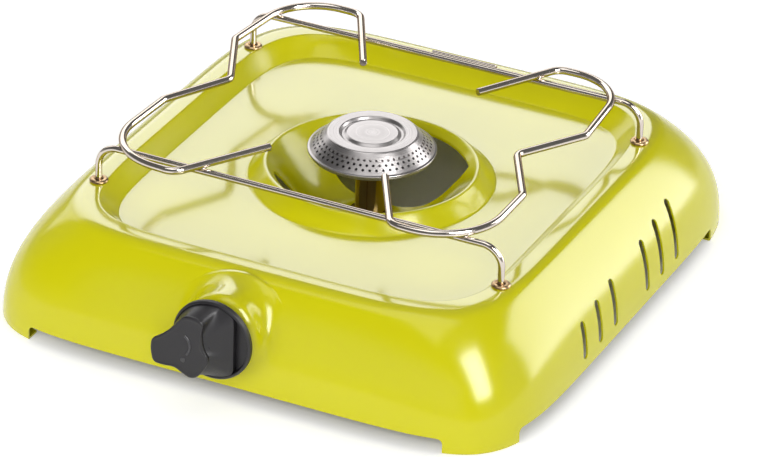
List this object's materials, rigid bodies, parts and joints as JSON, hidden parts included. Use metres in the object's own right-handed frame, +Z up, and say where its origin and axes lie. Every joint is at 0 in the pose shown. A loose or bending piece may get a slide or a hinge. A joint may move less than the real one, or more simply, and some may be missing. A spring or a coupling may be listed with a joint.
{
  "type": "camping gas stove",
  "caption": "Single-burner camping gas stove: pressed steel base with a burner in its well, a lift-off wire pan support, a front tap with a lever knob and a rear hose nozzle.",
  "frame": {"origin": "on the ground, at the middle of the bounding box, which is also under the middle of the burner", "axes": "+Z up, -Y towards the knob, +X to the right as seen from the knob's side"},
  "size_m": [0.299, 0.363, 0.0864],
  "materials": {
    "enamel": "glossy lime green enamel",
    "chrome_wire": "bright chrome plate",
    "burner_steel": "satin stainless steel",
    "plated_steel": "zinc plate",
    "brass": "turned brass",
    "copper_pipe": "drawn copper",
    "knob_plastic": "soft black moulding",
    "rubber_seal": "black nitrile"
  },
  "bodies": {
    "stove": {"body_shell": "enamel", "drip_tray": "enamel", "burner_well": "enamel", "leg_socket_front_left": "chrome_wire", "leg_socket_front_right": "chrome_wire", "leg_socket_back_right": "chrome_wire", "leg_socket_back_left": "chrome_wire", "burner_cap": "burner_steel", "burner_cup": "burner_steel", "mixing_tube": "plated_steel", "mixing_tube_washer": "plated_steel", "mixing_tube_nut": "brass", "jet_holder": "brass", "jet": "brass", "tap_body": "brass", "tap_cover": "brass", "tap_spring_washer": "plated_steel", "spindle_seal": "rubber_seal", "tap_nut": "plated_steel", "tap_screw_left": "plated_steel", "tap_screw_right": "plated_steel", "inlet_union": "brass", "inlet_washer": "rubber_seal", "inlet_nut": "plated_steel", "feed_pipe": "copper_pipe", "supply_pipe": "copper_pipe", "feed_nut_tap": "brass", "feed_nut_jet": "brass", "supply_nut_tap": "brass", "supply_nut_inlet": "brass"},
    "tap_stem": {"knob": "knob_plastic", "knob_clip": "plated_steel", "tap_spindle": "brass", "tap_plug": "brass"},
    "pan_support": {"front_wire": "chrome_wire", "back_wire": "chrome_wire", "left_loop": "chrome_wire", "right_loop": "chrome_wire", "rear_bar": "chrome_wire"}
  },
  "joints": [
    {"name": "knob_turn", "type": "hinge", "parent": "stove", "child": "tap_stem", "pos_m": [-0.0047, -0.163, 0.0375], "axis": [0, -1, 0], "range_deg": [0, 210]},
    {"name": "support_lift", "type": "slide", "parent": "stove", "child": "pan_support", "axis": [0, 0, 1], "range_m": [0, 0.045]}
  ]
}
